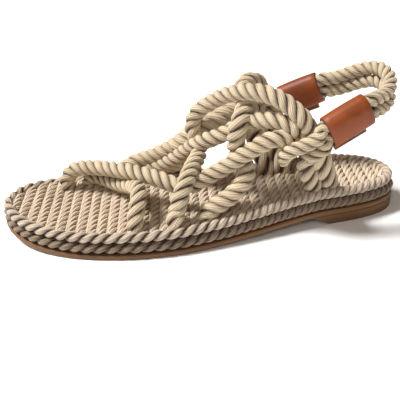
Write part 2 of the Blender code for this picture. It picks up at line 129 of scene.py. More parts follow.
# Midsole: one thick twisted rope that runs round the outsole's edge and is sewn to its filling.
# It has two soft greyish strands of cotton and jute with an S twist, which gets tighter from the
# waist to the heel.
LENGTH = 0.2525
BALL_WIDTH = 0.0915
TOE_SPRING = 0.0060
HEEL_HEIGHT = 0.0065
MIDSOLE_BASE = 0.0035
MIDSOLE_THICKNESS = 0.0064
FILLING_INSET = 0.0045
LOWER_ROPE = 0.0063
LOWER_INSET = 0.0038
LOWER_RISE = 0.0034
RING_STRANDS = 2
RING_SHARE = 0.60
RING_STEP = 0.0010
RING_SEAM = 78
# The twist has TOE_LEAD from the toe to x = LOOSE_TO, and HEEL_LEAD from x = TIGHT_FROM on.
TOE_LEAD = 0.0148
HEEL_LEAD = 0.0088
LOOSE_TO = -0.010
TIGHT_FROM = 0.040
# Painted shade: the side rope's colour is darker than the border rope's, though both are the same
# kind of rope, as the sole's side gets less light from above.
LOWER_SHADED = "#84705D"
# Painted shade in the grooves between the strands of the greyish ropes.
GROOVE_SHADE = "#3C2818"
SHEEN_TINT = "#FFF4E2"
# Turn of the yarns along a strand, in radians a metre.
YARN_TWIST = 260.0
OUTLINE = [
    # share of the length from the toe, shares of the ball width to the outer and inner side
    (0.000, -0.045, 0.045),
    (0.016, 0.085, 0.205),
    (0.040, 0.185, 0.300),
    (0.080, 0.285, 0.375),
    (0.130, 0.365, 0.425),
    (0.190, 0.430, 0.460),
    (0.260, 0.475, 0.490),
    (0.340, 0.500, 0.500),
    (0.440, 0.490, 0.450),
    (0.540, 0.440, 0.390),
    (0.640, 0.375, 0.358),
    (0.760, 0.292, 0.348),
    (0.860, 0.250, 0.345),
    (0.930, 0.200, 0.285),
    (0.972, 0.135, 0.205),
    (0.993, 0.055, 0.115),
    (1.000, -0.020, 0.020),
]
BOTTOM = [
    # along, share of toe spring, share of heel height
    (0.000, 1.000, 0.000),
    (0.060, 0.530, 0.000),
    (0.140, 0.160, 0.000),
    (0.240, 0.000, 0.000),
    (0.440, 0.000, 0.000),
    (0.500, 0.000, 0.060),
    (0.600, 0.000, 0.310),
    (0.720, 0.000, 0.740),
    (0.820, 0.000, 1.000),
    (1.000, 0.000, 1.000),
]


def read_table(rows, column, at):
    """Smooth value of one column, with no overshoot between rows."""
    xs = [row[0] for row in rows]
    ys = [row[column] for row in rows]
    steps = [(ys[i + 1] - ys[i]) / (xs[i + 1] - xs[i]) for i in range(len(xs) - 1)]
    slopes = [steps[0]]
    for before, after in zip(steps, steps[1:]):
        flat = before * after <= 0.0
        slopes.append(0.0 if flat else 2.0 * before * after / (before + after))
    slopes.append(steps[-1])
    at = min(max(at, xs[0]), xs[-1])
    i = max(k for k in range(len(xs) - 1) if xs[k] <= at)
    span = xs[i + 1] - xs[i]
    t = (at - xs[i]) / span
    return ((1 + 2 * t) * (1 - t) ** 2 * ys[i] + t * (1 - t) ** 2 * span * slopes[i]
            + t * t * (3 - 2 * t) * ys[i + 1] - t * t * (1 - t) * span * slopes[i + 1])


def bottom(x):
    """Height of the outsole's underside at x."""
    share = x / LENGTH + 0.5
    return TOE_SPRING * read_table(BOTTOM, 1, share) + HEEL_HEIGHT * read_table(BOTTOM, 2, share)


def spline(points, closed=False, per_span=12):
    """Dense Catmull-Rom curve through the points."""
    points = [Vector(p) for p in points]
    count = len(points)
    if closed:
        spans = [[points[(i + k) % count] for k in (-1, 0, 1, 2)] for i in range(count)]
    else:
        ends = [2 * points[0] - points[1], *points, 2 * points[-1] - points[-2]]
        spans = [ends[i:i + 4] for i in range(count - 1)]
    curve = []
    for a, b, c, d in spans:
        for k in range(per_span):
            t = k / per_span
            curve.append(0.5 * (2 * b + (c - a) * t + (2 * a - 5 * b + 4 * c - d) * t * t
                                + (3 * b - a - 3 * c + d) * t ** 3))
    if not closed:
        curve.append(points[-1])
    return curve


def resample(curve, count):
    """Points at even distances along a closed dense curve."""
    array = np.array([tuple(p) for p in curve + [curve[0]]])
    lengths = np.concatenate(([0.0], np.cumsum(np.linalg.norm(np.diff(array, axis=0), axis=1))))
    marks = np.linspace(0.0, lengths[-1], count + 1)[:-1]
    return [Vector(p) for p in zip(*[np.interp(marks, lengths, array[:, k]) for k in range(3)])]


def inset_ring(distance, count=240):
    """Plan outline of the sole moved inwards, from the toe along the inner side and back."""
    inner = [(row[0], row[2]) for row in OUTLINE]
    outer = [(row[0], -row[1]) for row in reversed(OUTLINE[1:-1])]
    shares = spline([(a, b, 0.0) for a, b in inner + outer], closed=True)
    low = [min(p[k] for p in shares) for k in range(2)]
    high = [max(p[k] for p in shares) for k in range(2)]
    scale = [LENGTH / (high[0] - low[0]), BALL_WIDTH / (high[1] - low[1])]
    middle = [(high[k] + low[k]) / 2 for k in range(2)]
    outline = resample([Vector(((p.x - middle[0]) * scale[0], (p.y - middle[1]) * scale[1], 0.0))
                        for p in shares], count * 2)
    moved = []
    for i, point in enumerate(outline):
        along = outline[(i + 1) % len(outline)] - outline[i - 1]
        moved.append(point + Vector((along.y, -along.x, 0.0)).normalized() * distance)
    return resample(moved, count)


def rope_group():
    """Geometry Nodes group that lays twisted strands along every spline of a curve."""
    tree = bpy.data.node_groups.new("Laid rope", "GeometryNodeTree")
    face = tree.interface
    face.new_socket("Geometry", in_out="OUTPUT", socket_type="NodeSocketGeometry")
    face.new_socket("Geometry", in_out="INPUT", socket_type="NodeSocketGeometry")
    for label, kind in (("Strands", "Int"), ("Lead", "Float"), ("Diameter", "Float"),
                        ("Strand Share", "Float"), ("Step", "Float"), ("Sides", "Int"),
                        ("Looseness", "Float"), ("Seed", "Float"), ("Finish", "Material")):
        face.new_socket(label, in_out="INPUT", socket_type="NodeSocket" + kind)
    given = add_node(tree, "NodeGroupInput").outputs
    place = add_node(tree, "GeometryNodeInputPosition")
    reach = add_node(tree, "GeometryNodeSplineParameter").outputs["Length"]
    fatness = add_node(tree, "GeometryNodeInputRadius")

    # Each strand keeps the rope's centre line, the length along it and its thickness there.
    line = add_node(tree, "GeometryNodeResampleCurve", {"mode": "LENGTH"},
                    {"Curve": given["Geometry"], "Length": given["Step"]})
    thickness = add_node(tree, "ShaderNodeMath", {"operation": "MULTIPLY"},
                         {0: fatness, 1: given["Diameter"]})
    for label, kind, value in (("core", "FLOAT_VECTOR", place), ("reach", "FLOAT", reach),
                               ("thick", "FLOAT", thickness)):
        line = add_node(tree, "GeometryNodeStoreNamedAttribute",
                        {"data_type": kind, "domain": "POINT"},
                        {"Geometry": line, "Name": label, "Value": value})
    core = add_node(tree, "GeometryNodeInputNamedAttribute", {"data_type": "FLOAT_VECTOR"},
                    {"Name": "core"})
    thick = add_node(tree, "GeometryNodeInputNamedAttribute", {"data_type": "FLOAT"},
                     {"Name": "thick"})

    # A strand winds once round the centre line in every lead, and the strands share the turn.
    copies = add_node(tree, "GeometryNodeDuplicateElements", {"domain": "SPLINE"},
                      {"Geometry": line, "Amount": given["Strands"]})
    index = copies.outputs["Duplicate Index"]
    start = add_node(tree, "ShaderNodeMath", {"operation": "DIVIDE"},
                     {0: index, 1: given["Strands"]})
    wound = add_node(tree, "ShaderNodeMath", {"operation": "DIVIDE"},
                     {0: reach, 1: given["Lead"]})
    turns = add_node(tree, "ShaderNodeMath", {"operation": "ADD"}, {0: wound, 1: start})
    angle = add_node(tree, "ShaderNodeMath", {"operation": "MULTIPLY"}, {0: turns, 1: math.tau})
    cosine = add_node(tree, "ShaderNodeMath", {"operation": "COSINE"}, {0: angle})
    sine = add_node(tree, "ShaderNodeMath", {"operation": "SINE"}, {0: angle})
    normal = add_node(tree, "GeometryNodeInputNormal").outputs["Normal"]
    tangent = add_node(tree, "GeometryNodeInputTangent")
    binormal = add_node(tree, "ShaderNodeVectorMath", {"operation": "CROSS_PRODUCT"},
                        {0: tangent, 1: normal})
    sideways = add_node(tree, "ShaderNodeVectorMath", {"operation": "SCALE"},
                        {0: normal, "Scale": cosine})
    upwards = add_node(tree, "ShaderNodeVectorMath", {"operation": "SCALE"},
                       {0: binormal, "Scale": sine})
    outward = add_node(tree, "ShaderNodeVectorMath", {"operation": "ADD"},
                       {0: sideways, 1: upwards})

    # Its middle lies its own radius inside the rope's surface.
    own_radius = add_node(tree, "ShaderNodeMath", {"operation": "MULTIPLY"},
                          {0: given["Strand Share"], 1: 0.5})
    inside = add_node(tree, "ShaderNodeMath", {"operation": "SUBTRACT"}, {0: 0.5, 1: own_radius})
    distance = add_node(tree, "ShaderNodeMath", {"operation": "MULTIPLY"}, {0: thick, 1: inside})
    move = add_node(tree, "ShaderNodeVectorMath", {"operation": "SCALE"},
                    {0: outward, "Scale": distance})

    # Slow noise of about 11 mm lets each strand drift a little and swell by a few per cent.
    draw = add_node(tree, "ShaderNodeMath", {"operation": "ADD"}, {0: given["Seed"], 1: index})
    wander = add_node(tree, "ShaderNodeTexNoise", {"noise_dimensions": "4D"},
                      {"Vector": place, "W": draw, "Scale": 90.0, "Detail": 1.0})
    either_way = add_node(tree, "ShaderNodeVectorMath", {"operation": "SUBTRACT"},
                          {0: wander.outputs["Color"], 1: (0.5, 0.5, 0.5)})
    slack = add_node(tree, "ShaderNodeMath", {"operation": "MULTIPLY"},
                     {0: thick, 1: given["Looseness"]})
    drift = add_node(tree, "ShaderNodeVectorMath", {"operation": "SCALE"},
                     {0: either_way, "Scale": slack})
    offset = add_node(tree, "ShaderNodeVectorMath", {"operation": "ADD"}, {0: move, 1: drift})
    strands = add_node(tree, "GeometryNodeSetPosition", None,
                       {"Geometry": copies, "Offset": offset})
    swell = add_node(tree, "ShaderNodeMapRange", None,
                     {"Value": wander, "From Min": 0.3, "From Max": 0.7,
                      "To Min": 0.47, "To Max": 0.53})

    # The section's own coordinates stay on the mesh, for the yarns round the strand.
    ring = add_node(tree, "GeometryNodeCurvePrimitiveCircle", None,
                    {"Resolution": given["Sides"], "Radius": 1.0})
    section = add_node(tree, "GeometryNodeStoreNamedAttribute",
                       {"data_type": "FLOAT_VECTOR", "domain": "POINT"},
                       {"Geometry": ring, "Name": "around", "Value": place})
    width = add_node(tree, "ShaderNodeMath", {"operation": "MULTIPLY"},
                     {0: thick, 1: given["Strand Share"]})
    scale = add_node(tree, "ShaderNodeMath", {"operation": "MULTIPLY"}, {0: width, 1: swell})
    tubes = add_node(tree, "GeometryNodeCurveToMesh", None,
                     {"Curve": strands, "Profile Curve": section, "Scale": scale,
                      "Fill Caps": True})

    # The crown is 1 on the rope's surface and less in the grooves, where a material paints shade.
    depth = add_node(tree, "ShaderNodeVectorMath", {"operation": "DISTANCE"},
                     {0: place, 1: core}).outputs["Value"]
    rope_radius = add_node(tree, "ShaderNodeMath", {"operation": "MULTIPLY"}, {0: thick, 1: 0.5})
    crown = add_node(tree, "ShaderNodeMath", {"operation": "DIVIDE"}, {0: depth, 1: rope_radius})
    marked = add_node(tree, "GeometryNodeStoreNamedAttribute",
                      {"data_type": "FLOAT", "domain": "POINT"},
                      {"Geometry": tubes, "Name": "crown", "Value": crown})
    smooth = add_node(tree, "GeometryNodeSetShadeSmooth", None, {"Geometry": marked})
    real = add_node(tree, "GeometryNodeRealizeInstances", None, {"Geometry": smooth})
    final = add_node(tree, "GeometryNodeSetMaterial", None,
                     {"Geometry": real, "Material": given["Finish"]})
    add_node(tree, "NodeGroupOutput", None, {0: final})
    return tree


laid_rope = rope_group()


def lay_ropes(name, paths, finish, level=False, **sizes):
    """Mesh object of ropes. paths: lists of (point, thickness share, turn in radians).

    level keeps the start of the twist upright, as a rope that lies flat needs. sizes: the
    group's inputs, with _ for a space.
    """
    curve = bpy.data.curves.new(name + "_path", "CURVE")
    curve.dimensions = "3D"
    curve.twist_mode = "Z_UP" if level else "MINIMUM"
    for path in paths:
        line = curve.splines.new("POLY")
        line.points.add(len(path) - 1)
        for spot, (point, share, turn) in zip(line.points, path):
            spot.co = (*point, 1.0)
            spot.radius = share
            spot.tilt = turn
    guide = bpy.data.objects.new(name + "_path", curve)
    bpy.context.scene.collection.objects.link(guide)
    step = guide.modifiers.new("rope", "NODES")
    step.node_group = laid_rope
    given = {key.replace("_", " "): value for key, value in sizes.items()}
    given["Finish"] = finish
    for socket in laid_rope.interface.items_tree:
        if socket.in_out == "INPUT" and socket.name in given:
            step[socket.identifier] = given[socket.name]
    layers = bpy.context.evaluated_depsgraph_get()
    mesh = bpy.data.meshes.new_from_object(guide.evaluated_get(layers), depsgraph=layers)
    mesh.name = name
    shape = bmesh.new()
    shape.from_mesh(mesh)
    bmesh.ops.recalc_face_normals(shape, faces=shape.faces)
    shape.to_mesh(mesh)
    shape.free()
    mesh.shade_smooth()
    bpy.data.objects.remove(guide, do_unlink=True)
    item = bpy.data.objects.new(name, mesh)
    bpy.context.scene.collection.objects.link(item)
    return item


def make_cotton(name, light, dark, yarns=7, groove=(0.73, 0.97)):
    """Raw twisted cotton: matt with a slight sheen, yarns along the strands, painted shade in the
    grooves.

    yarns: number round a strand. groove: crown values where the painted shade of the grooves ends
    and the rope's own colour starts.
    """
    item, tree, shader = new_material(name, 0.88, Specular_IOR_Level=0.18, Sheen_Weight=0.35,
                                      Sheen_Roughness=0.6, Sheen_Tint=linear(SHEEN_TINT))
    place = add_node(tree, "ShaderNodeTexCoord").outputs["Object"]
    around = add_node(tree, "ShaderNodeAttribute", {"attribute_name": "around"}).outputs["Vector"]
    reach = add_node(tree, "ShaderNodeAttribute", {"attribute_name": "reach"}).outputs["Fac"]
    crown = add_node(tree, "ShaderNodeAttribute", {"attribute_name": "crown"}).outputs["Fac"]

    # Yarns are 1.1 to 1.8 mm wide and wind round the strand. A wobble of about 2.4 mm keeps them
    # from looking ruled.
    sides = add_node(tree, "ShaderNodeSeparateXYZ", None, {0: around}).outputs
    turn = add_node(tree, "ShaderNodeMath", {"operation": "ARCTAN2"},
                    {0: sides["Y"], 1: sides["X"]})
    round_strand = add_node(tree, "ShaderNodeMath", {"operation": "MULTIPLY"},
                            {0: turn, 1: float(yarns)})
    along_strand = add_node(tree, "ShaderNodeMath", {"operation": "MULTIPLY"},
                            {0: reach, 1: YARN_TWIST})
    phase = add_node(tree, "ShaderNodeMath", {"operation": "ADD"},
                     {0: round_strand, 1: along_strand})
    bends = add_node(tree, "ShaderNodeTexNoise", None,
                     {"Vector": place, "Scale": 420.0, "Detail": 2.0, "Roughness": 0.55})
    wobble = add_node(tree, "ShaderNodeMath", {"operation": "MULTIPLY"}, {0: bends, 1: 2.6})
    bent = add_node(tree, "ShaderNodeMath", {"operation": "ADD"}, {0: phase, 1: wobble})
    yarn = add_node(tree, "ShaderNodeMath", {"operation": "SINE"}, {0: bent})

    # Fibres are drawn about 0.5 mm thick, which is coarser than real ones, so that they show.
    # Uneven spinning and handling leave patches of about 14 mm.
    fibre = add_node(tree, "ShaderNodeTexNoise", None,
                     {"Vector": place, "Scale": 1900.0, "Detail": 4.0, "Roughness": 0.65})
    patches = add_node(tree, "ShaderNodeTexNoise", None,
                       {"Vector": place, "Scale": 70.0, "Detail": 3.0, "Roughness": 0.55})

    # Painted shade: the colour goes from the shade colour deep in the grooves to the rope's own
    # colour on the crown.
    outer = add_node(tree, "ShaderNodeMapRange", None,
                     {"Value": crown, "From Min": groove[0], "From Max": groove[1],
                      "To Min": 0.0, "To Max": 1.0})
    open_share = add_node(tree, "ShaderNodeMath", {"operation": "POWER"}, {0: outer, 1: 0.75})
    colour = add_node(tree, "ShaderNodeMix", {"data_type": "RGBA"},
                      {0: open_share, 6: linear(dark), 7: linear(light)}).outputs[2]
    yarn_shade = add_node(tree, "ShaderNodeMapRange", None,
                          {"Value": yarn, "From Min": -1.0, "From Max": 1.0,
                           "To Min": -0.14, "To Max": 0.10})
    fibre_shade = add_node(tree, "ShaderNodeMapRange", None,
                           {"Value": fibre, "From Min": 0.3, "From Max": 0.7,
                            "To Min": -0.13, "To Max": 0.13})
    patch_shade = add_node(tree, "ShaderNodeMapRange", None,
                           {"Value": patches, "From Min": 0.3, "From Max": 0.7,
                            "To Min": 0.93, "To Max": 1.06})
    fine_shade = add_node(tree, "ShaderNodeMath", {"operation": "ADD"},
                          {0: yarn_shade, 1: fibre_shade})
    shade = add_node(tree, "ShaderNodeMath", {"operation": "ADD"},
                     {0: fine_shade, 1: patch_shade})
    tint = add_node(tree, "ShaderNodeVectorMath", {"operation": "SCALE"},
                    {0: colour, "Scale": shade})
    tree.links.new(tint.outputs["Vector"], shader.inputs["Base Color"])

    yarn_relief = add_node(tree, "ShaderNodeMath", {"operation": "MULTIPLY"}, {0: yarn, 1: 0.5})
    relief = add_node(tree, "ShaderNodeMath", {"operation": "ADD"}, {0: yarn_relief, 1: fibre})
    bump = add_node(tree, "ShaderNodeBump", None,
                    {"Strength": 0.8, "Distance": 0.0004, "Height": relief})
    tree.links.new(bump.outputs["Normal"], shader.inputs["Normal"])
    return item


def ring_path(inset, rise):
    """Open path once round the sole, turned so that the twist is tighter from waist to heel.

    It starts and ends at RING_SEAM on the inner side, where the strands meet end to end.
    """
    ring = [Vector((p.x, p.y, bottom(p.x) + rise)) for p in inset_ring(inset)]
    ring = ring[RING_SEAM:] + ring[:RING_SEAM + 1]
    reach = [0.0]
    turns = [0.0]
    for before, after in zip(ring, ring[1:]):
        tight = min(max((before.x - LOOSE_TO) / (TIGHT_FROM - LOOSE_TO), 0.0), 1.0)
        lead = TOE_LEAD + (HEEL_LEAD - TOE_LEAD) * tight
        length = (after - before).length
        reach.append(reach[-1] + length)
        turns.append(turns[-1] + length / lead)
    fit = round(RING_STRANDS * turns[-1]) / RING_STRANDS / turns[-1]
    return [(point, 1.0, -math.tau * (turn * fit - length / TOE_LEAD))
            for point, turn, length in zip(ring, turns, reach)]


def make_filling(inset, base, height, finish):
    """Plain slab under the mat, inside the rope that runs round the side."""
    count = 120
    vertices = [Vector((p.x, p.y, bottom(p.x) + z)) for z in (base, base + height)
                for p in inset_ring(inset, count)]
    faces = [tuple(reversed(range(count))), tuple(range(count, 2 * count))]
    faces += [(i, (i + 1) % count, count + (i + 1) % count, count + i) for i in range(count)]
    mesh = bpy.data.meshes.new("midsole_filling")
    mesh.from_pydata(vertices, [], faces)
    shape = bmesh.new()
    shape.from_mesh(mesh)
    bmesh.ops.triangulate(shape, faces=shape.faces)
    bmesh.ops.recalc_face_normals(shape, faces=shape.faces)
    shape.to_mesh(mesh)
    shape.free()
    mesh.materials.append(finish)
    item = bpy.data.objects.new("midsole_filling", mesh)
    bpy.context.scene.collection.objects.link(item)
    return item


# The side rope and the filling get this darker colour, which is painted shade.
shaded_side_cotton = make_cotton("greyish_cotton_side_rope_shaded", LOWER_SHADED, GROOVE_SHADE)
midsole_rope = lay_ropes("midsole_rope", [ring_path(LOWER_INSET, MIDSOLE_BASE + LOWER_RISE)],
                         shaded_side_cotton, level=True, Strands=RING_STRANDS, Strand_Share=RING_SHARE,
                         Lead=-TOE_LEAD, Diameter=LOWER_ROPE, Step=RING_STEP, Sides=12,
                         Looseness=0.05, Seed=1.0)
midsole_filling = make_filling(FILLING_INSET, MIDSOLE_BASE, MIDSOLE_THICKNESS, shaded_side_cotton)
for piece in (midsole_rope, midsole_filling):
    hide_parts("midsole")
    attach(piece, "root")


# Insole mat: soft cotton ropes laid side by side across the foot and sewn together. Each has
# five thin strands with a Z twist, and its ends go under the border rope.
MAT_BASE = 0.0102
MAT_THICKNESS = 0.0056
MAT_ROPE = 0.0076
MAT_PITCH = 0.0063
MAT_LEAD = 0.0280
MAT_TUCK = 0.0030
MAT_STEP = 0.002
MAT_LIGHT = "#D2BEA6"
# Painted shade in the grooves between the mat ropes' strands.
MAT_SHADE = "#6E5238"


def side_edges(distance):
    """Outer and inner edge of the inset outline as functions of x, and where it starts and ends."""
    ring = inset_ring(distance, 480)
    first = min(range(len(ring)), key=lambda k: ring[k].x)
    ring = ring[first:] + ring[:first]
    last = max(range(len(ring)), key=lambda k: ring[k].x)
    edges = []
    for side in ([ring[0]] + ring[:last - 1:-1], ring[:last + 1]):
        xs = np.maximum.accumulate([p.x for p in side])
        edges.append(lambda x, xs=xs, ys=[p.y for p in side]: float(np.interp(x, xs, ys)))
    return edges[0], edges[1], ring[0].x, ring[last].x


def mat_rows():
    """Paths of the mat's ropes, each turned so that the strands of neighbours line up."""
    outer_edge, inner_edge, start, end = side_edges(MAT_TUCK + MAT_ROPE / 2)
    count = round((end - start) / MAT_PITCH)
    rows = []
    for i in range(count):
        x = start + (end - start) * (i + 0.5) / count
        low, high = outer_edge(x), inner_edge(x)
        z = bottom(x) + MAT_BASE + MAT_THICKNESS - MAT_ROPE / 2
        turn = math.tau * low / MAT_LEAD
        steps = max(2, round((high - low) / MAT_STEP))
        rows.append([(Vector((x, low + (high - low) * k / steps, z)), 1.0, turn)
                     for k in range(steps + 1)])
    return rows


mat_cotton = make_cotton("natural_cotton_mat_rope", MAT_LIGHT, MAT_SHADE)
insole_mat = lay_ropes("woven_mat", mat_rows(), mat_cotton, Strands=5, Strand_Share=0.40,
                       Lead=MAT_LEAD, Diameter=MAT_ROPE, Step=0.0016, Sides=8, Looseness=0.04,
                       Seed=2.0)
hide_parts("insole_mat")
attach(insole_mat, "root")


# Border rope: a ring of the same kind of greyish rope that edges the mat, sewn on over its cut
# ends. Its twist is tighter from the waist to the heel too.
BORDER_ROPE = 0.0066
BORDER_INSET = 0.0050
BORDER_RISE = 0.0032
BORDER_LIGHT = "#C2B09C"

border_cotton = make_cotton("greyish_cotton_border_rope", BORDER_LIGHT, GROOVE_SHADE)
border_rope = lay_ropes("mat_border_rope", [ring_path(BORDER_INSET, MAT_BASE + BORDER_RISE)],
                        border_cotton, level=True, Strands=RING_STRANDS,
                        Strand_Share=RING_SHARE, Lead=-TOE_LEAD, Diameter=BORDER_ROPE,
                        Step=RING_STEP, Sides=12, Looseness=0.05, Seed=3.0)
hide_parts("border_rope")
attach(border_rope, "root")


# Upper: thick soft cotton ropes of three strands with a Z twist. They come up through the mat,
# cross over the foot, and go through a loop at each side, where the sling's ends hook on.
STRAP_DIAMETER = 0.0105
STRAP_LEAD = 0.0185
LEG_DIAMETER = 0.0112
LEG_LEAD = 0.0340
SLING_DIAMETER = 0.0086
SLING_LEAD = STRAP_LEAD * 0.85
STRAP_RISE = 0.066
ROOT_STAND = 0.0025
ROOT_DEPTH = 0.0050
INNER_SHIFT = 0.095
INNER_RISE = 0.974
ROPE_LIGHT = "#D0BD9F"
# Painted shade in the grooves between the strap ropes' strands.
ROPE_SHADE = "#4A2D16"
# Each table row: share of the length from the toe, share of the ball width from the centre
# line, and share of STRAP_RISE above the mat.
ROOTS = {
    "toe_cross": (0.157, 0.246),
    "toe_band": (0.345, -0.364),
    "instep_loop": (0.438, -0.374),
    "instep_riser": (0.514, -0.318),
    "instep_diagonal": (0.352, 0.340),
    "inner_riser": (0.300, 0.338),
    "inner_prop": (0.405, 0.345),
}
PATHS = {
    "toe_cross": [
        (0.165, 0.251, 0.120),
        (0.191, 0.235, 0.204),
        (0.234, 0.180, 0.246),
        (0.277, 0.115, 0.268),
        (0.325, 0.027, 0.288),
        (0.373, -0.060, 0.293),
        (0.414, -0.126, 0.276),
        (0.451, -0.172, 0.240),
        (0.485, -0.190, 0.240),
        (0.520, -0.190, 0.304),
        (0.559, -0.196, 0.379),
        (0.592, -0.209, 0.453),
        (0.625, -0.226, 0.532),
        (0.656, -0.248, 0.602),
        (0.687, -0.265, 0.634),
        (0.713, -0.265, 0.593),
        (0.732, -0.259, 0.520),
    ],
    "toe_band": [
        (0.352, -0.325, 0.147),
        (0.358, -0.259, 0.214),
        (0.355, -0.160, 0.228),
        (0.337, -0.050, 0.170),
        (0.301, 0.072, 0.113),
        (0.262, 0.182, 0.098),
        (0.232, 0.246, 0.092),
    ],
    "instep_loop": [
        (0.445, -0.339, 0.105),
        (0.453, -0.322, 0.210),
        (0.466, -0.284, 0.297),
        (0.477, -0.213, 0.352),
        (0.490, -0.115, 0.378),
        (0.504, -0.005, 0.388),
        (0.511, 0.082, 0.415),
        (0.506, 0.137, 0.479),
        (0.498, 0.158, 0.569),
        (0.501, 0.164, 0.661),
        (0.517, 0.154, 0.764),
        (0.552, 0.116, 0.856),
        (0.587, 0.039, 0.941),
        (0.626, -0.061, 0.991),
        (0.661, -0.138, 0.994),
        (0.691, -0.204, 0.954),
        (0.717, -0.248, 0.880),
        (0.738, -0.276, 0.798),
        (0.752, -0.281, 0.701),
        (0.756, -0.270, 0.599),
    ],
    "instep_riser": [
        (0.552, -0.303, 0.122),
        (0.582, -0.281, 0.177),
        (0.606, -0.237, 0.252),
        (0.616, -0.176, 0.313),
        (0.607, -0.121, 0.383),
        (0.596, -0.110, 0.483),
        (0.596, -0.138, 0.620),
        (0.604, -0.138, 0.750),
        (0.617, -0.066, 0.813),
        (0.626, 0.028, 0.860),
        (0.624, 0.149, 0.894),
        (0.631, 0.226, 0.912),
        (0.650, 0.278, 0.916),
        (0.670, 0.312, 0.866),
        (0.681, 0.328, 0.760),
        (0.684, 0.334, 0.645),
    ],
    "instep_diagonal": [
        (0.369, 0.344, 0.080),
        (0.405, 0.306, 0.130),
        (0.442, 0.235, 0.221),
        (0.477, 0.153, 0.356),
        (0.508, 0.066, 0.477),
        (0.542, -0.005, 0.560),
        (0.575, -0.044, 0.617),
        (0.604, -0.060, 0.674),
        (0.636, -0.105, 0.732),
        (0.666, -0.165, 0.757),
        (0.693, -0.215, 0.759),
        (0.716, -0.248, 0.721),
        (0.733, -0.259, 0.652),
        (0.746, -0.248, 0.552),
    ],
    "inner_riser": [
        (0.325, 0.355, 0.128),
        (0.366, 0.361, 0.176),
        (0.391, 0.344, 0.210),
        (0.422, 0.317, 0.266),
        (0.450, 0.290, 0.328),
        (0.472, 0.262, 0.389),
        (0.501, 0.240, 0.474),
        (0.533, 0.235, 0.536),
        (0.568, 0.257, 0.598),
        (0.602, 0.290, 0.635),
        (0.639, 0.317, 0.645),
        (0.668, 0.333, 0.604),
        (0.683, 0.333, 0.509),
    ],
    "inner_prop": [
        (0.424, 0.340, 0.115),
        (0.452, 0.301, 0.165),
        (0.480, 0.235, 0.258),
        (0.502, 0.165, 0.375),
    ],
}
BAND_END = (0.212, 0.282)
LOOP_LEGS = {
    # leg: root, then rows above it
    "front": [
        (0.776, -0.170),
        (0.766, -0.204, 0.160),
        (0.755, -0.246, 0.301),
        (0.754, -0.279, 0.425),
        (0.766, -0.292, 0.520),
    ],
    "rear": [
        (0.817, -0.152),
        (0.806, -0.195, 0.150),
        (0.791, -0.244, 0.295),
        (0.778, -0.276, 0.420),
        (0.768, -0.292, 0.525),
    ],
}
SLING_HOOK = [
    (0.772, -0.346, 0.644),
    (0.745, -0.356, 0.593),
    (0.716, -0.350, 0.558),
    (0.700, -0.318, 0.500),
    (0.699, -0.262, 0.410),
]
SLING_TUCK = [
    (0.789, -0.340, 0.537),
    (0.767, -0.336, 0.474),
    (0.747, -0.308, 0.420),
]
SLEEVES = {
    # side: mouth, end
    "outer": ((0.791, -0.322, 0.652), (0.884, -0.262, 0.806)),
    "inner": ((0.731, 0.311, 0.635), (0.820, 0.240, 0.768)),
}
SLING_OFFSET = 0.0039
SLEEVE_REACH = 0.0060
STRAIGHT_OUT = 0.0025
# How much a strap's start and middle are pulled wide, as shares of its thickness.
WIDE_START = {"instep_loop": 0.05, "instep_riser": 0.13}
WIDE_MIDDLE = {"instep_riser": 0.10}
PRESSED_WIDE = 0.44
PULLED_THIN = 0.16
LEG_SWELL = 0.28
# Each rope starts its twist at another angle, in radians.
STRAP_TURN = 1.3
LEG_TURN = 2.1
HOOK_TURN = 0.9


def place_row(row):
    """Point from shares along, across and rise."""
    x = (row[0] - 0.5) * LENGTH
    top = bottom(x) + MAT_BASE + MAT_THICKNESS
    return Vector((x, row[1] * BALL_WIDTH, top + row[2] * STRAP_RISE))


def root_points(root):
    """Straight start of a rope in the mat."""
    x, y = (root[0] - 0.5) * LENGTH, root[1] * BALL_WIDTH
    top = bottom(x) + MAT_BASE + MAT_THICKNESS
    return [Vector((x, y, top + z)) for z in (-ROOT_DEPTH, -ROOT_DEPTH / 2, ROOT_STAND)]


def to_side(row, side):
    """An outer-side row as it is, or mirrored for the inner side."""
    if side == "outer":
        return row
    return (row[0] - INNER_SHIFT, -row[1], *[rise * INNER_RISE for rise in row[2:]])


def sleeve_axis(side):
    """Mouth and end of a sleeve, its direction and its upward vector."""
    mouth, end = [place_row(row) for row in SLEEVES[side]]
    along = (end - mouth).normalized()
    up = (Vector((0.0, 0.0, 1.0)) - along * along.z).normalized()
    return mouth, end, along, up


def strap_share(name, at):
    """Thickness share of a strap at a share of its length: wide where pressed, thin where pulled."""
    if name == "toe_band":
        return 1.0 - PULLED_THIN * min(max(3.0 * at - 1.0, 0.0), 1.0)
    if name in ("inner_riser", "inner_prop"):
        return 1.0 + PRESSED_WIDE * math.sin(math.pi * at ** 1.6) ** 2
    return (1.0 + WIDE_START.get(name, 0.0) * max(0.0, 1.0 - 2.5 * at)
            + WIDE_MIDDLE.get(name, 0.0) * math.sin(math.pi * at) ** 2)


def strap_paths():
    """Paths of the seven straps. The toe band goes into the mat at both ends."""
    paths = []
    for i, (name, rows) in enumerate(PATHS.items()):
        points = root_points(ROOTS[name]) + [place_row(row) for row in rows]
        if name == "toe_band":
            points += reversed(root_points(BAND_END))
        curve = spline(points)
        paths.append([(point, strap_share(name, k / len(curve)), STRAP_TURN * i)
                      for k, point in enumerate(curve)])
    return paths


def leg_paths():
    """Paths of the two legs of each side loop, which get thicker towards the top."""
    paths = []
    for side in SLEEVES:
        for i, rows in enumerate(LOOP_LEGS.values()):
            root, *rest = [to_side(row, side) for row in rows]
            curve = spline(root_points(root) + [place_row(row) for row in rest])
            paths.append([(point, 1.0 + LEG_SWELL * (k / len(curve)) ** 2, LEG_TURN * i)
                          for k, point in enumerate(curve)])
    return paths


